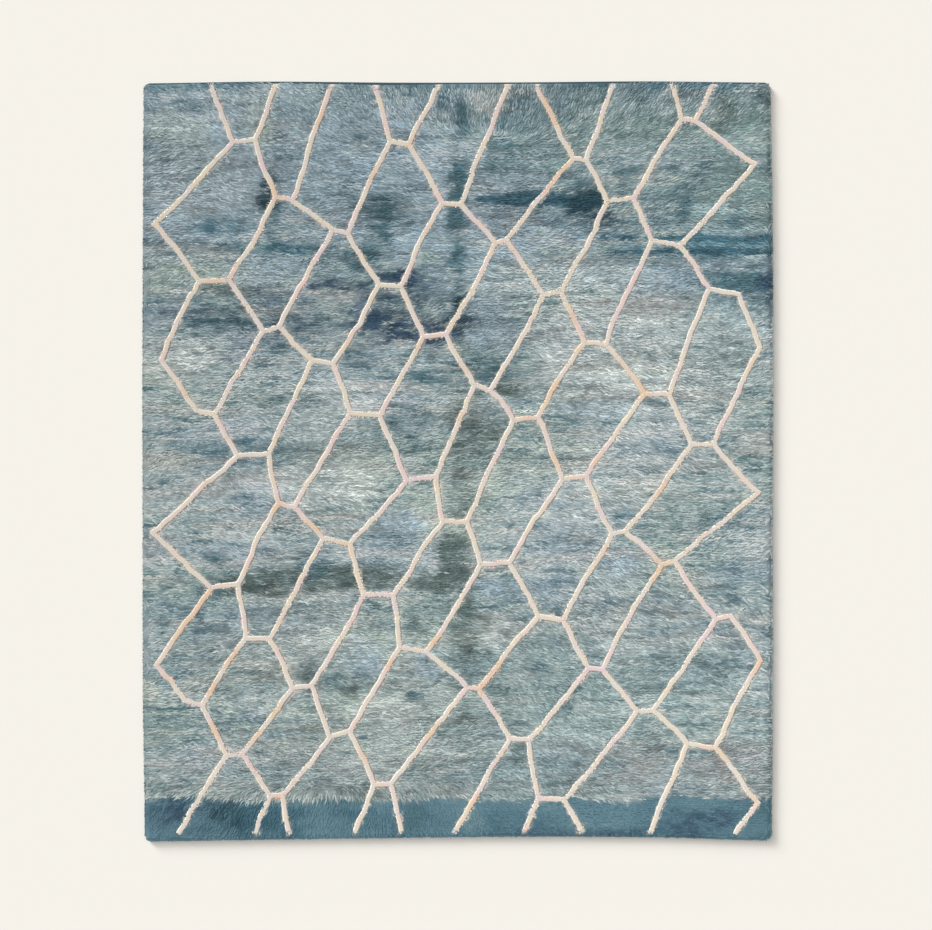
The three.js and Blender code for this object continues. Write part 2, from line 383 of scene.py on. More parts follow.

# Where the ground was knotted with another wool, and where shade is painted: the wool, the middle and the
# half size in metres, and how much of it there is. More than 1 makes a crisp patch.
WASHES = [
    ("lichen", 0.30, 1.30, 0.26, 0.17, 0.50), ("lichen", 0.72, 1.30, 0.40, 0.20, 0.60),
    ("lichen", 1.12, 1.14, 0.22, 0.28, 0.80), ("pale", -0.75, -0.80, 0.30, 0.12, 0.35),
    ("pale", 0.92, -0.65, 0.34, 0.10, 0.35), ("pale", -1.00, 1.12, 0.22, 0.14, 0.30),
    ("bog", 0.08, 0.13, 0.10, 0.11, 0.50), ("bog", 0.06, -0.66, 0.05, 0.08, 0.45),
    ("haze", -0.75, 1.24, 0.80, 0.38, 0.60), ("haze", -0.20, 0.98, 1.00, 0.34, 0.75),
    ("teal", 0.62, 0.92, 0.26, 0.12, 0.28), ("slate", 0.00, -1.30, 1.35, 0.14, 0.20),
    ("fog", 0.05, -1.28, 1.30, 0.17, 0.46), ("moss", -1.13, 1.31, 0.13, 0.07, 0.50),
    ("moss", -0.80, 1.34, 0.06, 0.09, 0.50), ("ink", -0.77, 1.08, 0.06, 0.07, 0.90),
    ("storm", -0.74, 0.94, 0.04, 0.12, 0.70), ("teal", -0.95, 0.93, 0.17, 0.03, 0.60),
    ("teal", -0.74, 0.85, 0.38, 0.022, 0.75), ("moss", -1.09, 0.75, 0.20, 0.08, 0.60),
    ("bog", -0.97, 0.67, 0.14, 0.03, 0.60), ("storm", -0.32, 0.95, 0.11, 0.11, 0.95),
    ("storm", -0.39, 0.81, 0.08, 0.05, 0.90), ("navy", -0.47, 0.70, 0.17, 0.03, 0.60),
    ("navy", -0.25, 0.73, 0.10, 0.05, 0.85), ("navy", -0.23, 0.64, 0.12, 0.04, 0.75),
    ("navy", -0.27, 0.54, 0.17, 0.06, 0.85), ("navy", -0.09, 0.51, 0.10, 0.07, 0.90),
    ("storm", -0.95, 0.55, 0.09, 0.05, 0.55), ("navy", -0.60, 0.57, 0.55, 0.10, 0.38),
    ("navy", -0.25, 0.66, 0.24, 0.13, 0.35), ("storm", -0.71, 0.47, 0.09, 0.035, 0.60),
    ("pale", -1.13, 0.42, 0.17, 0.09, 0.60), ("storm", -0.21, 0.12, 0.11, 0.09, 0.50),
    ("storm", -0.43, 0.42, 0.09, 0.04, 0.50), ("storm", -0.79, 0.05, 0.17, 0.035, 0.45),
    ("pale", 0.11, 1.44, 0.11, 0.05, 0.70), ("teal", 0.30, 1.38, 0.17, 0.11, 0.30),
    ("storm", 0.20, 1.20, 0.12, 0.06, 0.45), ("storm", 0.00, 1.11, 0.05, 0.04, 0.70),
    # Painted shade: these and the other narrow dark washes near x = 0 mark a fold crease down the rug
    ("storm", 0.005, 0.95, 0.040, 0.36, 0.90), ("storm", 0.005, 1.36, 0.025, 0.15, 0.70),
    ("band deep", 0.34, 1.035, 0.21, 0.024, 3.00), ("ink", 0.53, 1.02, 0.09, 0.05, 1.60),
    ("ink", 0.57, 0.97, 0.09, 0.05, 0.70), ("storm", 0.47, 1.09, 0.09, 0.04, 0.50),
    ("storm", 0.67, 1.12, 0.07, 0.06, 0.60), ("storm", 0.90, 1.05, 0.035, 0.09, 0.80),
    ("bog", 1.05, 1.38, 0.04, 0.06, 0.70), ("band", 0.95, 0.85, 0.34, 0.046, 0.90),
    ("band deep", 0.96, 0.882, 0.30, 0.012, 2.60), ("band deep", 1.00, 0.830, 0.28, 0.011, 2.60),
    ("fog", 0.78, 0.62, 0.22, 0.045, 0.60), ("teal", 1.10, 0.96, 0.05, 0.03, 0.70),
    ("storm", 1.08, 0.69, 0.22, 0.075, 0.95), ("haze", 1.00, 0.80, 0.30, 0.12, 0.60),
    ("navy", 1.23, 0.70, 0.04, 0.06, 0.70), ("haze", 0.80, 0.70, 0.22, 0.045, 0.45),
    ("haze", 0.12, 0.86, 0.10, 0.10, 0.30), ("haze", 0.12, 0.54, 0.13, 0.08, 0.70),
    ("ink", 0.00, 0.62, 0.03, 0.06, 0.70), ("navy", 0.03, 0.56, 0.05, 0.05, 0.70),
    ("pale", 0.74, 0.45, 0.55, 0.34, 0.55), ("slate", 1.08, 0.70, 0.30, 0.34, 0.45),
    ("slate", 1.05, 0.94, 0.32, 0.22, 0.75), ("slate", 1.04, 0.62, 0.08, 0.04, 0.60),
    ("storm", 0.14, 0.34, 0.06, 0.05, 0.55), ("bog", 0.20, 0.27, 0.06, 0.03, 0.60),
    ("bog", 0.02, 0.22, 0.060, 0.36, 0.35), ("haze", 0.52, 0.20, 0.17, 0.035, 0.50),
    ("bog", 0.010, -0.13, 0.040, 0.30, 0.38), ("bog", -0.03, -0.38, 0.055, 0.13, 0.90),
    ("pale", -0.55, -0.08, 0.22, 0.11, 0.60), ("haze", -0.25, -0.26, 0.12, 0.07, 0.60),
    # Painted shade: the narrow bog washes near y = -0.47 on the left mark a fold crease across the rug
    ("bog", -0.31, -0.46, 0.20, 0.045, 0.65), ("bog", -0.10, -0.49, 0.10, 0.04, 0.75),
    ("storm", -0.58, -0.42, 0.06, 0.06, 0.55), ("bog", -0.80, -0.49, 0.22, 0.045, 0.90),
    ("bog", -0.45, -0.465, 0.42, 0.040, 0.85), ("storm", -0.98, -0.39, 0.04, 0.035, 0.65),
    ("storm", -1.00, -0.51, 0.06, 0.028, 0.70), ("haze", -0.78, -0.63, 0.28, 0.07, 0.45),
    ("slate", -1.15, -0.83, 0.06, 0.09, 0.70), ("bog", -0.58, -0.87, 0.04, 0.06, 0.85),
    ("bog", -0.42, -0.93, 0.04, 0.03, 0.75), ("haze", -0.36, -0.82, 0.09, 0.07, 0.60),
    ("haze", -0.11, -0.80, 0.07, 0.07, 0.60), ("storm", -0.16, -0.93, 0.03, 0.025, 0.75),
    ("bog", -0.17, -0.66, 0.035, 0.045, 0.60), ("slate", -0.75, -1.26, 0.19, 0.04, 0.50),
    ("bog", -0.33, -1.30, 0.05, 0.03, 0.55), ("haze", 0.24, -0.51, 0.17, 0.04, 0.75),
    ("teal", 0.42, -0.47, 0.06, 0.03, 0.45), ("teal", 0.68, -0.23, 0.06, 0.045, 0.60),
    ("lichen", 0.92, -0.24, 0.19, 0.06, 0.60), ("haze", 0.66, -0.42, 0.09, 0.06, 0.60),
    ("haze", 1.12, -0.45, 0.16, 0.035, 0.55), ("bog", 0.02, -0.70, 0.045, 0.34, 0.75),
    ("pale", 0.17, -0.67, 0.12, 0.08, 0.65), ("storm", 0.32, -0.82, 0.06, 0.03, 0.60),
    ("slate", 0.05, -0.83, 0.13, 0.045, 0.60), ("storm", 0.41, -0.97, 0.04, 0.03, 0.55),
    ("slate", 0.92, -0.86, 0.10, 0.05, 0.55), ("bog", 0.24, -1.12, 0.035, 0.08, 0.60),
    ("slate", 0.52, -1.22, 0.20, 0.03, 0.50), ("fog", 0.68, -1.20, 0.16, 0.07, 0.50),
    ("fog", 1.10, -1.22, 0.14, 0.08, 0.50), ("moss", 0.10, -0.95, 1.30, 0.42, 0.42),
    ("slate", 0.60, -1.02, 0.75, 0.36, 0.42), ("moss", 0.05, 0.02, 0.40, 0.20, 0.35),
    ("storm", 0.15, 0.42, 0.14, 0.14, 0.45), ("bog", -0.52, 0.02, 0.20, 0.05, 0.30),
    ("pale", -0.60, 0.18, 0.28, 0.16, 0.35), ("pale", -0.62, -0.60, 0.24, 0.15, 0.60),
    ("pale", -0.20, -0.95, 0.22, 0.15, 0.40), ("pale", 0.62, -0.56, 0.24, 0.17, 0.45),
    ("pale", 0.62, -0.16, 0.26, 0.18, 0.35), ("slate", 0.20, -1.25, 0.24, 0.14, 0.60),
    # Painted shade: the thin teal and ink washes along the upper edge darken the pile beside the woven lip
    ("teal", -1.00, 1.49, 0.30, 0.025, 0.60), ("teal", 0.00, 1.49, 0.45, 0.014, 0.55),
    ("teal", 0.95, 1.485, 0.32, 0.025, 0.60), ("ink", 1.22, 1.47, 0.06, 0.05, 0.50),
]
# The same in the end band
BAND_WASHES = [
    ("navy", -1.13, -1.42, 0.12, 0.07, 0.70), ("ink", -0.92, -1.40, 0.07, 0.06, 0.65),
    ("band deep", -0.76, -1.43, 0.16, 0.08, 1.00), ("band deep", -0.30, -1.44, 0.22, 0.05, 0.45),
    ("storm", -0.18, -1.43, 0.05, 0.06, 0.60), ("lichen", 0.04, -1.43, 0.06, 0.05, 0.35),
    ("band deep", 0.22, -1.44, 0.12, 0.04, 0.45), ("navy", 0.97, -1.44, 0.13, 0.05, 0.60),
    ("storm", 1.20, -1.44, 0.07, 0.06, 0.55), ("navy", 0.50, -1.48, 0.50, 0.02, 0.40),
]
# A wash fades over this span of its half size, and its crisp middle comes with this much cover
WASH_FADE = (0.45, 1.45)
CRISP_COVER = (0.8, 1.0)
WASH_FIBRES = 1.9
WASH_SPECKLE = 0.08


def wash_area(wash):
    _, _, _, half_x, half_y, _ = wash
    return half_x * half_y


def washed(x, y, colour, washes, relief, random):
    """The wool with its washes, small over large. Each takes over streak by streak and fades at its rim."""
    ragged = swing(x, y, "ragged washes, broad") + swing(x, y, "ragged washes, fine")
    uneven = 1 + swing(x, y, "uneven washes")
    x = x + swing(x, y, "washes across")
    y = y + swing(x, y, "washes along")
    speckle = WASH_SPECKLE * random.standard_normal(len(x))
    stroke = np.clip(1 + WASH_FIBRES * fibre_streaks(x, y, "fibres in washes") + speckle, 0, 2)
    for wool, middle_x, middle_y, half_x, half_y, share in sorted(washes, key=wash_area, reverse=True):
        away = np.hypot((x - middle_x) / half_x, (y - middle_y) / half_y) + ragged
        cover = np.minimum(share * uneven * (1 - soft_step(*WASH_FADE, away)), 1)
        mix = np.minimum(stroke * cover + soft_step(*CRISP_COVER, cover), 1)[:, None]
        colour = colour * (1 - mix) + WOOLS[wool] * relief * mix
    return colour


# The ground's tone runs through these wools, from 0 to 1
GROUND_WOOLS = ("storm", "slate", "mist", "pale")
GROUND_TONE = 0.57
GROUND_FIBRES = 0.54
GROUND_SPECKLE = 0.13
# Greener or bluer ground, as a change of red, green and blue
GREEN_TINT = np.array((-0.005, 0.008, -0.05))
# Other wools take the ground's light and shade: how strongly, and the tone at which they stay as dyed
RELIEF = 0.9
RELIEF_TONE = 0.55


def ground_colour(x, y, random):
    """The wool of the ground: level streaks of lighter and darker wool, painted shade in the pile's
    partings, washes and single locks.
    """
    streak = swing(x, y, "long streaks") + swing(x, y, "short streaks")
    broad = swing(x, y, "broad tones") + swing(x, y, "small tones")
    fine = GROUND_FIBRES * fibre_streaks(x, y, "fibres")
    # Painted shade: the pile's partings are darkened
    parting = patches(x, y + swing(x, y, "bent partings"), "partings")
    speckle = GROUND_SPECKLE * random.standard_normal(len(x))
    tone = GROUND_TONE + streak + broad + fine - parting + speckle
    tones = np.array([WOOLS[wool] for wool in GROUND_WOOLS])
    place = np.clip(tone, 0, 1) * (len(tones) - 1)
    before = np.minimum(place.astype(int), len(tones) - 2)
    share = (place - before)[:, None]
    colour = tones[before] * (1 - share) + tones[before + 1] * share
    green = swing(x, y, "green, broad") + swing(x, y, "green, fine")
    tint = 1 + green[:, None] * GREEN_TINT
    relief = np.exp(RELIEF * (tone - RELIEF_TONE))[:, None]
    oat = patches(x, y, "oat")[:, None]
    colour = colour * tint * (1 - oat) + WOOLS["oat"] * relief * oat
    return washed(x, y, colour, WASHES, relief, random)


# The net's ivory turns warmer or greener from knot to knot, as a change of red, green and blue
LINE_WARMTH = np.array((0.02, 0, -0.07))
LINE_GREEN = np.array((0, 0.015, 0))


def line_wool(x, y):
    """The pale wool of the net: ivory that turns pinkish or peach here and there."""
    line = WOOLS["ivory"]
    for wool in ("blush", "peach"):
        share = patches(x, y, wool)[:, None]
        line = line * (1 - share) + WOOLS[wool] * share
    warmth = swing(x, y, "line warmth")[:, None] * LINE_WARMTH
    green = swing(x, y, "line green")[:, None] * LINE_GREEN
    return line * (1 + warmth + green) * NET_LIFT


# The plain band at the lower end: its border, and how far its wool goes from the band's to the deep one
BAND_TOP = -1.352
BAND_TOOTH = 6 * MM
BAND_DEPTH = 0.34
BAND_FIBRES = 0.3
BAND_SPECKLE = 0.05
BAND_RELIEF = 0.3
BAND_RELIEF_DEPTH = 0.3
# The bare woven lip at the upper end
LIP_DEPTH = 7.5 * MM
# Painted shade: the pile's colour is a little darker near its free edges, where the pile rounds over them
RIM_SHADE = 0.16
RIM_SHADE_WIDTH = 30 * MM
LINE_SPECKLE = 0.035


def band_border(x):
    return BAND_TOP + swing(x, 0 * x, "band border, broad") + swing(x, 0 * x, "band border, fine")


def lip_depth(x):
    return LIP_DEPTH + swing(x, 0 * x, "lip")


def band_colour(x, y, random):
    """The wool of the end band, with its own washes."""
    depth = BAND_DEPTH + swing(x, y, "band depth") + BAND_FIBRES * fibre_streaks(x, y, "fibres")
    depth = np.clip(depth + BAND_SPECKLE * random.standard_normal(len(x)), 0, 1)[:, None]
    band = WOOLS["band"] * (1 - depth) + WOOLS["band deep"] * depth
    return washed(x, y, band, BAND_WASHES, 1 + BAND_RELIEF * (BAND_RELIEF_DEPTH - depth), random)


def knot_colour(x, y, random):
    """The colour of each knot of wool, and which knots are of a net line and of the end band."""
    colour = ground_colour(x, y, random) * PILE_LIFT
    # Painted shade: knots near the pile's free edges are darkened
    nearest = np.minimum.reduce(rim_distance(x, y))
    colour = colour * (1 - RIM_SHADE * (1 - soft_step(0, RIM_SHADE_WIDTH, nearest)))[:, None]
    in_band = y + BAND_TOOTH * random.uniform(-1, 1, len(x)) < band_border(x)
    band = band_colour(x, y, random) * PILE_LIFT
    colour = np.where(in_band[:, None], band, colour)
    away = nearest_line(x, y)[0] + LINE_TOOTH * random.uniform(-1, 1, len(x))
    on_line = (away < LINE_HALF_WIDTH) & (y > -LENGTH / 2 + LINES_STOP_ABOVE)
    line = line_wool(x, y) * (1 + LINE_SPECKLE * random.standard_normal(len(x)))[:, None]
    return np.where(on_line[:, None], line, colour), on_line, in_band


# The weave's ribs, as wave textures: at scale 1 a wave repeats every 0.314 metres
WAVE = 0.314
WARP_SPACING = 7 * MM
ROW_SPACING = 10.2 * MM


def new_material(name):
    material = bpy.data.materials.new(name)
    material.use_nodes = True
    return material, material.node_tree.nodes, material.node_tree.links


def wool_material():
    """Matt wool: each knot's own colour, finely streaked along the lock by its fibres."""
    material, nodes, links = new_material("knotted_wool")
    shader = nodes["Principled BSDF"]
    shader.inputs["Roughness"].default_value = 0.92
    shader.inputs["Diffuse Roughness"].default_value = 1.0
    shader.inputs["Specular IOR Level"].default_value = 0.15
    colour = nodes.new("ShaderNodeAttribute")
    colour.attribute_name = "wool"
    strand = nodes.new("ShaderNodeUVMap")
    strand.uv_map = "strand"
    stretch = nodes.new("ShaderNodeMapping")
    stretch.inputs["Scale"].default_value = (9.0, 1.2, 1.0)
    fibres = nodes.new("ShaderNodeTexNoise")
    fibres.inputs["Scale"].default_value = 1.0
    fibres.inputs["Detail"].default_value = 2.0
    shade = nodes.new("ShaderNodeMapRange")
    shade.inputs["From Min"].default_value = 0.3
    shade.inputs["From Max"].default_value = 0.7
    shade.inputs["To Min"].default_value = 0.86
    shade.inputs["To Max"].default_value = 1.09
    tinted = nodes.new("ShaderNodeVectorMath")
    tinted.operation = "SCALE"
    bump = nodes.new("ShaderNodeBump")
    bump.inputs["Distance"].default_value = 0.6 * MM
    bump.inputs["Strength"].default_value = 0.6
    links.new(strand.outputs["UV"], stretch.inputs["Vector"])
    links.new(stretch.outputs["Vector"], fibres.inputs["Vector"])
    links.new(fibres.outputs["Fac"], shade.inputs["Value"])
    links.new(colour.outputs["Color"], tinted.inputs["Vector"])
    links.new(shade.outputs["Result"], tinted.inputs["Scale"])
    links.new(tinted.outputs["Vector"], shader.inputs["Base Color"])
    links.new(fibres.outputs["Fac"], bump.inputs["Height"])
    links.new(bump.outputs["Normal"], shader.inputs["Normal"])
    return material


def foundation_material():
    """Tightly knotted wool: the colour of the knots there, ribbed by the rows of the weave, with painted
    shade in the grooves between the ribs.
    """
    material, nodes, links = new_material("foundation")
    shader = nodes["Principled BSDF"]
    shader.inputs["Roughness"].default_value = 0.95
    shader.inputs["Diffuse Roughness"].default_value = 1.0
    shader.inputs["Specular IOR Level"].default_value = 0.1
    colour = nodes.new("ShaderNodeAttribute")
    colour.attribute_name = "wool"
    place = nodes.new("ShaderNodeTexCoord")
    warps = nodes.new("ShaderNodeTexWave")
    warps.bands_direction = "X"
    warps.inputs["Scale"].default_value = WAVE / WARP_SPACING
    warps.inputs["Distortion"].default_value = 0.6
    rows = nodes.new("ShaderNodeTexWave")
    rows.bands_direction = "Y"
    rows.inputs["Scale"].default_value = WAVE / ROW_SPACING
    rows.inputs["Distortion"].default_value = 0.8
    knots = nodes.new("ShaderNodeMath")
    knots.operation = "MULTIPLY"
    fluff = nodes.new("ShaderNodeTexNoise")
    fluff.inputs["Scale"].default_value = 260.0
    fluff.inputs["Detail"].default_value = 3.0
    relief = nodes.new("ShaderNodeMath")
    relief.operation = "MULTIPLY_ADD"
    relief.inputs[1].default_value = 0.5
    # Partly painted shade: the colour darkens where the ribs' relief is low, and is mottled by the fluff
    shade = nodes.new("ShaderNodeMapRange")
    shade.inputs["From Min"].default_value = 0.1
    shade.inputs["From Max"].default_value = 1.1
    shade.inputs["To Min"].default_value = 0.86
    shade.inputs["To Max"].default_value = 1.08
    tinted = nodes.new("ShaderNodeVectorMath")
    tinted.operation = "SCALE"
    bump = nodes.new("ShaderNodeBump")
    bump.inputs["Distance"].default_value = 0.8 * MM
    bump.inputs["Strength"].default_value = 0.7
    for texture in (warps, rows, fluff):
        links.new(place.outputs["Object"], texture.inputs["Vector"])
    links.new(warps.outputs["Fac"], knots.inputs[0])
    links.new(rows.outputs["Fac"], knots.inputs[1])
    links.new(knots.outputs["Value"], relief.inputs[0])
    links.new(fluff.outputs["Fac"], relief.inputs[2])
    links.new(relief.outputs["Value"], shade.inputs["Value"])
    links.new(relief.outputs["Value"], bump.inputs["Height"])
    links.new(colour.outputs["Color"], tinted.inputs["Vector"])
    links.new(shade.outputs["Result"], tinted.inputs["Scale"])
    links.new(tinted.outputs["Vector"], shader.inputs["Base Color"])
    links.new(bump.outputs["Normal"], shader.inputs["Normal"])
    return material


def placed(name, mesh):
    """A piece made from its mesh, moved to the middle of the rug in the shared frame."""
    mesh.transform(Matrix.Translation(RUG_MIDDLE))
    piece = bpy.data.objects.new(name, mesh)
    bpy.context.scene.collection.objects.link(piece)
    return piece


def paint(mesh, colour):
    """Stores a colour at each point of the mesh."""
    layer = mesh.color_attributes.new("wool", "FLOAT_COLOR", "POINT")
    filled = np.ones((len(colour), 4), np.float32)
    filled[:, :3] = np.clip(colour, 0, WHITEST)
    layer.data.foreach_set("color", filled.ravel())


def mesh_places(mesh):
    """The x, y and z of all the mesh's points."""
    places = np.empty(len(mesh.vertices) * 3)
    mesh.vertices.foreach_get("co", places)
    return places.reshape(-1, 3).T


# The cloth: one flat sheet with the outline of the solid, its foundation and the dense roots of the pile
CLOTH_COLUMNS = 140
CLOTH_ROWS = 168
CLOTH_TOP = 19.5 * MM
CLOTH_TOP_INSET = 3 * MM
CORD_HEIGHT = 4 * MM
CORD_INSET = -1.5 * MM
FOOT_INSET = 6 * MM
# The lip is three rows of the grid: its edge, its inner line, and the foot of the pile behind it
LIP_TOP = 5 * MM
LIP_EDGE_DROP = 0.5 * MM
LIP_INNER_LINE = 1.0 * MM
PILE_FOOT_LINE = -2.5 * MM
PILE_FOOT_DROP = 1.5 * MM
CLOTH_MERGE = 0.02 * MM
# Painted shade: the cloth is coloured darker than the pile above it, as the shade in the gaps between the
# locks, palest under the lines and a little darker on its wall and underside
CLOTH_PAINTED_SHADES = {"line": 0.95, "band": 0.85, "ground": 0.70, "wall and underside": 0.90}
CLOTH_SEED = 11


def picked(geometry, kind):
    return [part for part in geometry if isinstance(part, kind)]


def lay(verts, inset, height):
    """Vertices of a grid one unit wide, laid on the outline at a height."""
    places = np.array([vert.co for vert in verts])
    x, y = corner_cut(places[:, 0] * WIDTH, places[:, 1] * LENGTH)
    x, y = onto_outline(x, y, inset)
    for vert, along_x, along_y in zip(verts, x, y):
        vert.co = (along_x, along_y, height)


def lower_the_lip(verts, rows):
    """The last rows of the cloth's top brought down to the bare woven lip."""
    for vert, row in zip(verts, rows):
        top = float(sides_at(vert.co.x, vert.co.y)[3])
        depth = float(lip_depth(np.array([vert.co.x]))[0])
        if row == CLOTH_ROWS:
            vert.co.z = LIP_TOP - LIP_EDGE_DROP
        elif row == CLOTH_ROWS - 1:
            vert.co.y = top - depth + LIP_INNER_LINE
            vert.co.z = LIP_TOP
        elif row == CLOTH_ROWS - 2:
            vert.co.y = top - depth + PILE_FOOT_LINE
            vert.co.z = CLOTH_TOP - PILE_FOOT_DROP


def cloth_colour(x, y, z):
    colour, on_line, in_band = knot_colour(x, y, np.random.default_rng(CLOTH_SEED))
    # Painted shade from the table above: darker in the gaps, on the wall and on the underside
    shade = np.where(in_band, CLOTH_PAINTED_SHADES["band"], CLOTH_PAINTED_SHADES["ground"])
    shade = np.where(z > CORD_HEIGHT, shade, CLOTH_PAINTED_SHADES["wall and underside"])
    shade = np.where(on_line, CLOTH_PAINTED_SHADES["line"], shade)
    on_lip = (y > sides_at(x, y)[3] - lip_depth(x)) & (z > 1 * MM)
    return np.where(on_lip[:, None], WOOLS["lip"], colour * shade[:, None])


def build_cloth(material):
    """A grid laid on the outline, with a rim of two steps down to its flat underside."""
    form = bmesh.new()
    bmesh.ops.create_grid(form, x_segments=CLOTH_COLUMNS, y_segments=CLOTH_ROWS, size=0.5)
    top_verts = form.verts[:]
    rim = [edge for edge in form.edges if edge.is_boundary]
    under = bmesh.ops.duplicate(form, geom=form.verts[:] + form.edges[:] + form.faces[:])["geom"]
    under_verts = picked(under, bmesh.types.BMVert)
    bmesh.ops.reverse_faces(form, faces=picked(under, bmesh.types.BMFace))
    cord = bmesh.ops.extrude_edge_only(form, edges=rim)["geom"]
    cord_verts = picked(cord, bmesh.types.BMVert)
    cord_edges = [edge for edge in picked(cord, bmesh.types.BMEdge) if edge.is_boundary]
    foot = bmesh.ops.extrude_edge_only(form, edges=cord_edges)["geom"]
    foot_verts = picked(foot, bmesh.types.BMVert)
    rows = [round((vert.co.y + 0.5) * CLOTH_ROWS) for vert in top_verts]
    lay(top_verts, CLOTH_TOP_INSET, CLOTH_TOP)
    lay(cord_verts, CORD_INSET, CORD_HEIGHT)
    lay(foot_verts, FOOT_INSET, 0)
    lay(under_verts, FOOT_INSET, 0)
    lower_the_lip(top_verts, rows)
    bmesh.ops.remove_doubles(form, verts=form.verts[:], dist=CLOTH_MERGE)
    bmesh.ops.recalc_face_normals(form, faces=form.faces[:])
    mesh = bpy.data.meshes.new("rug_cloth")
    form.to_mesh(mesh)
    form.free()
    mesh.materials.append(material)
    mesh.shade_smooth()
    paint(mesh, cloth_colour(*mesh_places(mesh)))
    return placed("rug_cloth", mesh)


# The net's bed: flattened round cords under the pale lines, in short steps and of uneven fullness
NET_BED_HALF_WIDTH = 11.2 * MM
NET_BED_STEP = 12 * MM
NET_BED_HEIGHT = 20.0 * MM
NET_BED_OVERLAP = 6 * MM
NET_BED_FLATNESS = 0.07
NET_BED_INSIDE = 4 * MM
# Painted shade: the bed is a little darker than the line's wool, as the shade under the line's locks
NET_BED_PAINTED_SHADE = 0.93
# Cords that overlap lie at slightly different heights
NET_BED_LEVELS = 5
NET_BED_LIFT = 0.09 * MM


def build_net_bed(material):
    """The dense knots under the pale lines: flattened round cords swept along the net."""
    curve = bpy.data.curves.new("net_bed", "CURVE")
    curve.dimensions = "3D"
    curve.bevel_depth = NET_BED_HALF_WIDTH
    curve.bevel_resolution = 1
    curve.use_fill_caps = True
    for index, ((ax, ay), (bx, by)) in enumerate(net_stretches()):
        lift = index % NET_BED_LEVELS * NET_BED_LIFT / NET_BED_FLATNESS
        size = math.hypot(bx - ax, by - ay)
        beyond = NET_BED_OVERLAP / size
        share = np.linspace(-beyond, 1 + beyond, max(2, math.ceil(size / NET_BED_STEP)) + 1)
        x = ax + (bx - ax) * share
        y = ay + (by - ay) * share
        stray_x, stray_y = wander(x, y)
        x, y = x - stray_x, y - stray_y
        top = sides_at(x, y)[3] - lip_depth(x)
        rim = NET_BED_HALF_WIDTH + NET_BED_INSIDE
        inside = np.minimum.reduce([*rim_distance(x, y), top - y]) > rim
        if inside.sum() < 2:
            continue
        spline = curve.splines.new("POLY")
        spline.points.add(int(inside.sum()) - 1)
        fullness = 1 + swing(x, y, "cord fullness")
        for point, along_x, along_y, full in zip(spline.points, x[inside], y[inside], fullness[inside]):
            point.co = (along_x, along_y, lift, 1)
            point.radius = full
    cord = bpy.data.objects.new("net_bed_curve", curve)
    mesh = bpy.data.meshes.new_from_object(cord)
    mesh.name = "net_bed"
    bpy.data.objects.remove(cord)
    bpy.data.curves.remove(curve)
    flattened = Matrix.Diagonal((1, 1, NET_BED_FLATNESS, 1))
    mesh.transform(Matrix.Translation((0, 0, NET_BED_HEIGHT)) @ flattened)
    mesh.materials.clear()
    mesh.materials.append(material)
    mesh.shade_smooth()
    x, y, _ = mesh_places(mesh)
    # Painted shade under the line's locks
    paint(mesh, NET_BED_PAINTED_SHADE * line_wool(x, y))
    return placed("net_bed", mesh)


# A lock: three points round its root, three round its crest and its tip, closed by ten faces
LOCK_SIDES = 3
LOCK_POINTS = 7
LOCK_FACES = np.array([
    (0, 2, 1), (0, 1, 4), (0, 4, 3), (1, 2, 5), (1, 5, 4),
    (2, 0, 3), (2, 3, 5), (3, 4, 6), (4, 5, 6), (5, 3, 6),
])
# The map that runs round and along each lock, which starts anywhere up to so many turns on
ROUND_LOCK = np.array([0, 1 / 3, 2 / 3, 0, 1 / 3, 2 / 3, 0.5])
ALONG_LOCK = np.array([0, 0, 0, 0.4, 0.4, 0.4, 1.0])
MAP_TURNS = 50
# Loose wool scatters light from lock to lock: how far a lock's shading normals lean towards the pile's
LOFT = 0.86


def lock_turn(side):
    """The turn of a lock's side about its length, with the first side up."""
    return side * 2 * math.pi / LOCK_SIDES + math.pi / 2


def soften(mesh):
    """Shading normals that lean towards the pile's, straight up."""
    normals = np.empty(len(mesh.vertices) * 3, np.float32)
    mesh.vertex_normals.foreach_get("vector", normals)
    normals = normals.reshape(-1, 3) * (1 - LOFT)
    normals[:, 2] += LOFT
    normals /= np.linalg.norm(normals, axis=1, keepdims=True)
    mesh.normals_split_custom_set_from_vertices(normals)


def lock_mesh(name, points, painted, wool, random):
    """One mesh of locks from their points and colours."""
    count = len(points)
    faces = (np.arange(count)[:, None, None] * LOCK_POINTS + LOCK_FACES).reshape(-1, 3)
    mesh = bpy.data.meshes.new(name)
    mesh.from_pydata(points.reshape(-1, 3), [], faces)
    mesh.materials.append(wool)
    mesh.shade_smooth()
    paint(mesh, painted.reshape(-1, 3))
    start = random.uniform(0, MAP_TURNS, (count, 2))
    flat = np.stack([ROUND_LOCK + start[:, :1], ALONG_LOCK + start[:, 1:]], 2)[:, LOCK_FACES, :]
    mesh.uv_layers.new(name="strand").uv.foreach_set("vector", flat.astype(np.float32).ravel())
    mesh.update()
    soften(mesh)
    return placed(name, mesh)


# The pile: locks of wool in rows of knots, which lean over their neighbours. The margins are at the lower
# end and at both sides together, and each knot is shaken by a share of the pitch.
ROW_PITCH = 10.2 * MM
LOCK_PITCH = 10.2 * MM
LOWER_MARGIN = 8 * MM
SIDE_MARGINS = 14 * MM
ROOT_INSET = 1 * MM
SHAKEN_ACROSS = 0.45
SHAKEN_ALONG = 0.30
PILE_BANDS = 5
PILE_SEED = 5

# How the locks lean, in radians: loose ones against their patch, strays, and steep ones near the ends,
# which all lean towards the lower end
LOOSE_LEANS = 0.6
LEAN_STRAY = 0.12
STEEP_LEAN = math.radians(50)
LINE_LEAN_STRAY = 0.25
RIM_PULL = 1.6
RIM_PULL_WIDTH = 26 * MM

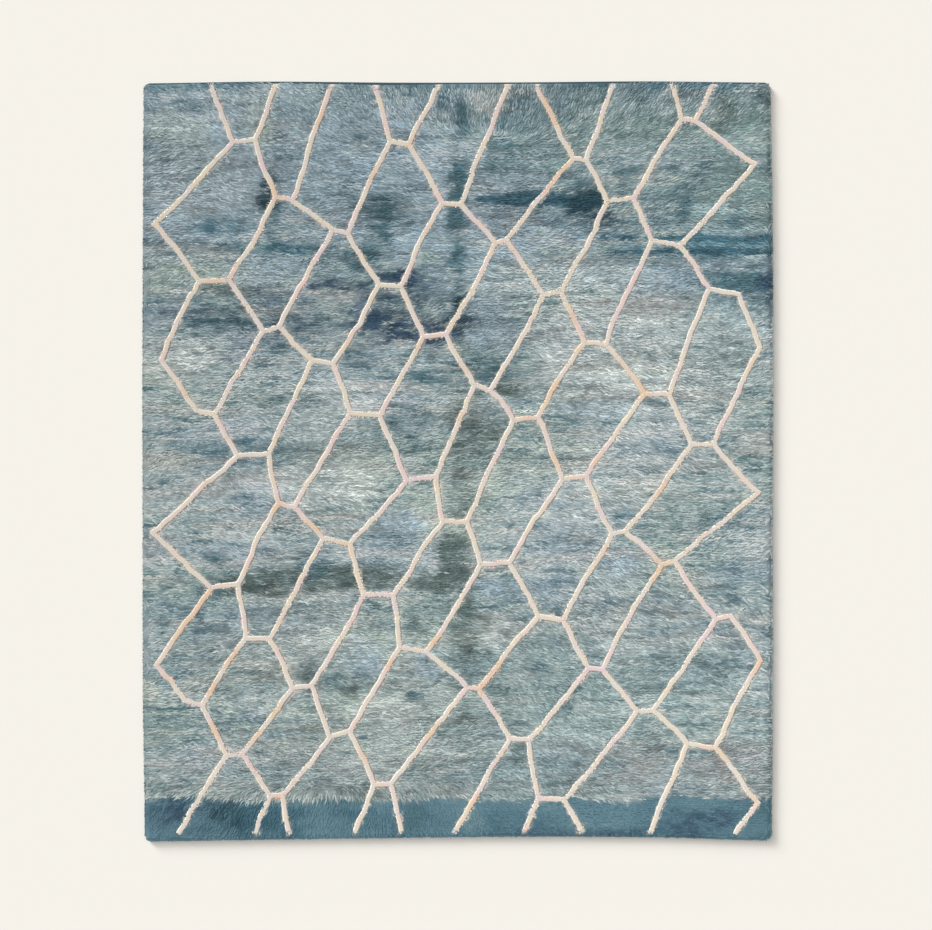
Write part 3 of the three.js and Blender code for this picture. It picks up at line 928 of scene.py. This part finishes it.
# Lengths of the locks, in millimetres, and shares of them. Towards the woven end the pile is worn shorter.
LOCK_LENGTH = 29
LOCK_LENGTH_SPREAD = (0.8, 1.2)
WORN_BY = 7
WORN_BETWEEN = (1.27, 1.42)
LINE_LOCK_SHARE = 0.36
BAND_LOCK_SHARE = 0.80
# A lock shows the colour of the rug at this share of its length, and a line's lock starts back from there
SEEN_AT = 0.25
LINE_LOCK_BACK = 0.4
# Locks of the ground that would lie over a line are kept shorter: how near the line's middle, at which
# share of the lock's length, and how much of it is kept
LINE_COVER = 9 * MM
COVERING = ({"at": 0.9, "kept": 0.6}, {"at": 0.5, "kept": 0.45})

# The form of a lock: sizes, in millimetres where they don't say MM, and shares of its length and width
ROOT_HEIGHT = 18.8 * MM
LOCK_HALF_WIDTHS = (2.9, 4.0)
LINE_LOCK_WIDTH = 1.15
CREST_HEIGHT = 21.3
CREST_STRAY = 0.6
LINE_CREST_STRAY = 0.3
LINE_CREST_DROP = 0.4 * MM
CREST_AT = 0.36
TIP_BEYOND = 0.58
TIP_RISES = (-1.8, 0.5)
CURL = 0.25
TWIST = 0.3
ROOT_ACROSS = 0.8
ROOT_ALONG = 0.5
CREST_DEPTH = 0.28
# Painted shade: each lock's root points are darkened, as the shade low in the pile
LOCK_ROOT_SHADE = 0.90
LINE_LOCK_ROOT_SHADE = 0.96

# Locks at the rim: how far their ends may stand out, in millimetres, and how they bend down over the edge
LOOSE_ENDS = (0.5, 6.5)
WOVEN_END_CLEARANCE = 4.5 * MM
BEND_INSIDE = 3 * MM
BEND = 0.6


def lock_roots(random):
    """Where the locks grow: rows of knots that waver a little, each knot shaken out of its place."""
    reach = WIDTH - SIDE_MARGINS
    rows = int((LENGTH - LOWER_MARGIN) / ROW_PITCH)
    columns = int(reach / LOCK_PITCH)
    column, row = np.meshgrid(np.arange(columns), np.arange(rows))
    x = ((column.ravel() + 0.5) / columns - 0.5) * reach
    y = -LENGTH / 2 + LOWER_MARGIN + (row.ravel() + 0.5) * ROW_PITCH
    x = x + random.uniform(-SHAKEN_ACROSS, SHAKEN_ACROSS, len(x)) * LOCK_PITCH
    y = y + swing(x, y, "rows of knots") + random.uniform(-SHAKEN_ALONG, SHAKEN_ALONG, len(x)) * ROW_PITCH
    x, y = corner_cut(x, y)
    x, y = onto_outline(x, y, ROOT_INSET)
    grows = y < sides_at(x, y)[3] - lip_depth(x)
    return x[grows], y[grows]


def lock_lean(x, y, random):
    """Which way each lock leans, in plan: along the brushed angle, one way or the other by patches."""
    angle = brushed_angle(x, y) + swing(x, y, "lean, fine") + swing(x, y, "lean, broad")
    to_and_fro = swing(x, y, "lean to and fro") + LOOSE_LEANS * random.uniform(-1, 1, len(x))
    turned = np.where(to_and_fro > 0, 0.0, math.pi)
    steep = np.abs(angle) > STEEP_LEAN
    turned = np.where(steep, np.where(angle > 0, math.pi, 0.0), turned)
    return angle + turned + LEAN_STRAY * random.standard_normal(len(x))


def over_the_rim(x, y, lean):
    """The same leans, turned outward for locks that stand near a free edge."""
    pull_left, pull_right, pull_down = (
        RIM_PULL * np.clip(1 - distance / RIM_PULL_WIDTH, 0, 1) for distance in rim_distance(x, y)
    )
    return np.arctan2(np.sin(lean) - pull_down, np.cos(lean) + pull_right - pull_left)


def lock_length(x, y, random):
    length = (LOCK_LENGTH - WORN_BY * soft_step(*WORN_BETWEEN, y) + swing(x, y, "lock length")) * MM
    return length * random.uniform(*LOCK_LENGTH_SPREAD, len(x))


def clear_of_lines(x, y, lean, length):
    """What share of its length each lock keeps, so that it leaves the pale lines free."""
    kept = np.ones(len(x))
    for part in COVERING:
        over = nearest_line(*moved(x, y, lean, part["at"] * length))[0] < LINE_COVER
        kept = np.where(over, part["kept"], kept)
    return kept


def lock_points(x, y, lean, length, on_line, random):
    """The points of each lock: round its root, round its crest, and the tip, which curls to one side."""
    count = len(x)
    away_x, away_y = np.cos(lean), np.sin(lean)
    width = random.uniform(*LOCK_HALF_WIDTHS, count) * np.where(on_line, LINE_LOCK_WIDTH, 1.0) * MM
    crest = (CREST_HEIGHT + swing(x, y, "crest, fine") + swing(x, y, "crest, broad")) * MM
    stray = np.where(on_line, LINE_CREST_STRAY, CREST_STRAY) * random.uniform(-1, 1, count) * MM
    crest = crest + stray - np.where(on_line, LINE_CREST_DROP, 0)
    curl = CURL * random.standard_normal(count)
    middle_x, middle_y = moved(x, y, lean, CREST_AT * length)
    tip_x, tip_y = moved(middle_x, middle_y, lean + curl, TIP_BEYOND * length)
    tip_z = crest + random.uniform(*TIP_RISES, count) * MM
    points = np.empty((count, LOCK_POINTS, 3))
    for side in range(LOCK_SIDES):
        turn = random.uniform(-TWIST, TWIST, count) + lock_turn(side)
        across, up = np.cos(turn), np.sin(turn)
        points[:, side, 0] = x - away_y * across * ROOT_ACROSS * width - away_x * up * ROOT_ALONG * width
        points[:, side, 1] = y + away_x * across * ROOT_ACROSS * width - away_y * up * ROOT_ALONG * width
        points[:, side, 2] = ROOT_HEIGHT
        points[:, LOCK_SIDES + side, 0] = middle_x - away_y * across * width
        points[:, LOCK_SIDES + side, 1] = middle_y + away_x * across * width
        points[:, LOCK_SIDES + side, 2] = crest + CREST_DEPTH * up * width
    points[:, -1] = np.stack([tip_x, tip_y, tip_z], 1)
    return points


def keep_inside(points, random):
    """Locks at the rim end where the edge does, give or take a little, and bend down over it."""
    loose = random.uniform(*LOOSE_ENDS, points.shape[:1])[:, None] * MM
    left, right, bottom, top = sides_at(points[..., 0], points[..., 1])
    points[..., 0] = np.clip(points[..., 0], left - loose, right + loose)
    points[..., 1] = np.clip(points[..., 1], bottom - loose, top - WOVEN_END_CLEARANCE)
    over = np.maximum(left - points[..., 0], points[..., 0] - right)
    over = np.maximum(over, bottom - points[..., 1]) + BEND_INSIDE
    points[..., 2] -= BEND * np.maximum(over, 0)


def build_pile(wool):
    """All the locks, as one mesh to each band of the rug's length."""
    random = np.random.default_rng(PILE_SEED)
    x, y = lock_roots(random)
    lean = over_the_rim(x, y, lock_lean(x, y, random))
    length = lock_length(x, y, random)
    seen_x, seen_y = moved(x, y, lean, SEEN_AT * length)
    colour, on_line, in_band = knot_colour(seen_x, seen_y, random)
    length = np.where(on_line, LINE_LOCK_SHARE, np.where(in_band, BAND_LOCK_SHARE, 1.0)) * length
    along_line = nearest_line(seen_x, seen_y)[1] + LINE_LEAN_STRAY * random.standard_normal(len(x))
    lean = np.where(on_line, along_line, lean)
    back_x, back_y = moved(seen_x, seen_y, lean, -LINE_LOCK_BACK * length)
    x = np.where(on_line, back_x, x)
    y = np.where(on_line, back_y, y)
    length = np.where(on_line, 1, clear_of_lines(x, y, lean, length)) * length
    points = lock_points(x, y, lean, length, on_line, random)
    keep_inside(points, random)
    # Painted shade at each lock's root
    shade = np.ones((len(x), LOCK_POINTS, 1))
    shade[:, :LOCK_SIDES, 0] = np.where(on_line, LINE_LOCK_ROOT_SHADE, LOCK_ROOT_SHADE)[:, None]
    painted = colour[:, None, :] * shade
    bands = []
    limits = np.linspace(y.min(), y.max() + MM, PILE_BANDS + 1)
    for band in range(PILE_BANDS):
        chosen = (y >= limits[band]) & (y < limits[band + 1])
        bands.append(lock_mesh(f"pile_band_{band + 1}", points[chosen], painted[chosen], wool, random))
    return bands


# Locks over the side walls, in rows from the top down. They end short of the woven end, and near a corner
# they hang to both sides. Sizes that don't say MM are in millimetres.
RIM_ROWS = (18 * MM, 12 * MM, 6.5 * MM)
RIM_PITCH = 6.5 * MM
RIM_SHAKEN = (0.2, 0.8)
RIM_END = 16 * MM
RIM_CORNER = 0.7 * CORNER_RADIUS
RIM_INSET = 3 * MM
RIM_REACH = (6.0, 11.0)
RIM_STRAY = 3
RIM_HANG = (8, 12)
RIM_LEAST_HEIGHT = 0.8 * MM
RIM_HALF_WIDTHS = (3.2, 4.6)
# Where a rim lock bends, as shares of its reach and slant, and how far it rises there
RIM_BEND_REACH = 0.6
RIM_BEND_SLANT = 0.4
RIM_BEND_RISE = 0.5 * MM
RIM_ROOT_DEPTH = 0.6
RIM_BEND_DEPTH = 0.35
# Painted shade: the rim locks are coloured darker than the knots they come from
RIM_LOCK_PAINTED_SHADE = 0.92
RIM_SEED = 8


def rim_places(random):
    """Places along the left, bottom and right edges, with the way out of the rug at each."""
    reach_x = WIDTH / 2
    reach_y = LENGTH / 2
    last = reach_y - RIM_END
    stops = [(-reach_x, last), (-reach_x, -reach_y), (reach_x, -reach_y), (reach_x, last)]
    places = []
    for (ax, ay), (bx, by) in zip(stops, stops[1:]):
        count = int(math.hypot(bx - ax, by - ay) / RIM_PITCH)
        share = (np.arange(count) + random.uniform(*RIM_SHAKEN, count)) / count
        x = ax + (bx - ax) * share
        y = ay + (by - ay) * share
        out_x = np.where(reach_x - np.abs(x) < RIM_CORNER, np.sign(x), 0.0)
        out_y = np.where(reach_y + y < RIM_CORNER, -1.0, 0.0)
        size = np.hypot(out_x, out_y)
        x, y = onto_outline(*corner_cut(x, y), RIM_INSET)
        places.append(np.stack([x, y, out_x / size, out_y / size], 1))
    return np.concatenate(places).T


def rim_row(height, random):
    """One row of locks along the rim: their points and their colours."""
    x, y, out_x, out_y = rim_places(random)
    count = len(x)
    slant = swing(x, y, "rim slant") + random.uniform(-RIM_STRAY, RIM_STRAY, count) * MM
    reach = random.uniform(*RIM_REACH, count) * MM
    root = np.stack([x, y, np.full(count, height)], 1)
    out = np.stack([out_x, out_y, np.zeros(count)], 1)
    side = np.stack([-out_y, out_x, np.zeros(count)], 1)
    up = np.array([0, 0, 1.0])
    bend = root + RIM_BEND_REACH * reach[:, None] * out + RIM_BEND_SLANT * slant[:, None] * side
    bend = bend + RIM_BEND_RISE * up
    tip = root + reach[:, None] * out + slant[:, None] * side
    tip[:, 2] = np.maximum(height - random.uniform(*RIM_HANG, count) * MM, RIM_LEAST_HEIGHT)
    width = random.uniform(*RIM_HALF_WIDTHS, count)[:, None] * MM
    points = np.empty((count, LOCK_POINTS, 3))
    for corner in range(LOCK_SIDES):
        turn = lock_turn(corner)
        across = math.cos(turn) * side
        rise = math.sin(turn)
        points[:, corner] = root + width * (across + RIM_ROOT_DEPTH * rise * up)
        points[:, LOCK_SIDES + corner] = bend + width * (across + RIM_BEND_DEPTH * rise * (up + out))
    points[:, -1] = tip
    # Painted shade on the rim locks
    colour = RIM_LOCK_PAINTED_SHADE * knot_colour(x, y, random)[0]
    return points, np.repeat(colour[:, None, :], LOCK_POINTS, axis=1)


def build_rim(wool):
    """Locks rooted in the side walls that hang outward and down over them."""
    random = np.random.default_rng(RIM_SEED)
    rows = [rim_row(height, random) for height in RIM_ROWS]
    points, painted = (np.concatenate(parts) for parts in zip(*rows))
    return lock_mesh("rim_locks", points, painted, wool, random)


# The studio: a plain pale floor, soft light from the upper left and a camera straight above. The frame is
# so many pixels of the photo wide, and the rug's middle lies off its middle.
PIXEL = 3.977 * MM
FRAME_PIXELS = 932
RUG_MIDDLE_FROM_FRAME_MIDDLE = (-7.9 * PIXEL, 4.7 * PIXEL)
LENS = 70
SENSOR = 36
PILE_SURFACE = 20 * MM
FLOOR_RADIUS = 30
FLOOR_CORNERS = 64
FLOOR_COLOUR = (0.676, 0.652, 0.605, 1)
FLOOR_DROP = 0.5 * MM
# The lamps: height above the horizon and soft spread in degrees, and how strongly each lights the floor
LAMPS = [
    {"name": "low_lamp", "elevation": 19.5, "spread": 22, "share": 0.44},
    {"name": "side_lamp", "elevation": 40, "spread": 26, "share": 0.20},
    {"name": "top_lamp", "elevation": 80, "spread": 30, "share": 0.39},
]
LAMP_BEARING = math.radians(135)
DAYLIGHT = 0.34


def build_camera():
    data = bpy.data.cameras.new("camera")
    data.sensor_fit = "HORIZONTAL"
    data.sensor_width = SENSOR
    data.lens = LENS
    camera = bpy.data.objects.new("camera", data)
    bpy.context.scene.collection.objects.link(camera)
    distance = FRAME_PIXELS * PIXEL * LENS / SENSOR
    across, along = RUG_MIDDLE_FROM_FRAME_MIDDLE
    camera.location = (RUG_MIDDLE[0] - across, RUG_MIDDLE[1] - along, PILE_SURFACE + distance)
    bpy.context.scene.camera = camera


def build_floor():
    form = bmesh.new()
    bmesh.ops.create_circle(form, cap_ends=True, segments=FLOOR_CORNERS, radius=FLOOR_RADIUS)
    mesh = bpy.data.meshes.new("floor")
    form.to_mesh(mesh)
    form.free()
    floor = bpy.data.objects.new("floor", mesh)
    bpy.context.scene.collection.objects.link(floor)
    material, nodes, _ = new_material("pale_floor")
    shader = nodes["Principled BSDF"]
    shader.inputs["Base Color"].default_value = FLOOR_COLOUR
    shader.inputs["Roughness"].default_value = 0.9
    shader.inputs["Specular IOR Level"].default_value = 0.0
    mesh.materials.append(material)
    floor.location.z = -FLOOR_DROP


def build_light():
    world = bpy.data.worlds.new("daylight")
    bpy.context.scene.world = world
    world.use_nodes = True
    background = world.node_tree.nodes["Background"]
    background.inputs["Color"].default_value = (1.0, 1.0, 1.0, 1)
    background.inputs["Strength"].default_value = DAYLIGHT
    for lamp in LAMPS:
        light = bpy.data.lights.new(lamp["name"], "SUN")
        height = math.radians(lamp["elevation"])
        light.energy = lamp["share"] * math.pi / math.sin(height)
        light.angle = math.radians(lamp["spread"])
        sun = bpy.data.objects.new(lamp["name"], light)
        bpy.context.scene.collection.objects.link(sun)
        towards = (
            math.cos(height) * math.cos(LAMP_BEARING),
            math.cos(height) * math.sin(LAMP_BEARING),
            math.sin(height),
        )
        sun.rotation_euler = Vector(towards).to_track_quat("Z", "Y").to_euler()
    bpy.context.scene.view_settings.view_transform = "Standard"


build_camera()
build_floor()
build_light()
knotted_wool = wool_material()
foundation = foundation_material()
cloth = build_cloth(foundation)
net_bed = build_net_bed(foundation)
pile = [net_bed, *build_pile(knotted_wool), build_rim(knotted_wool)]
for piece in [cloth, *pile]:
    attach(piece, "root")
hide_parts("pile_rug")
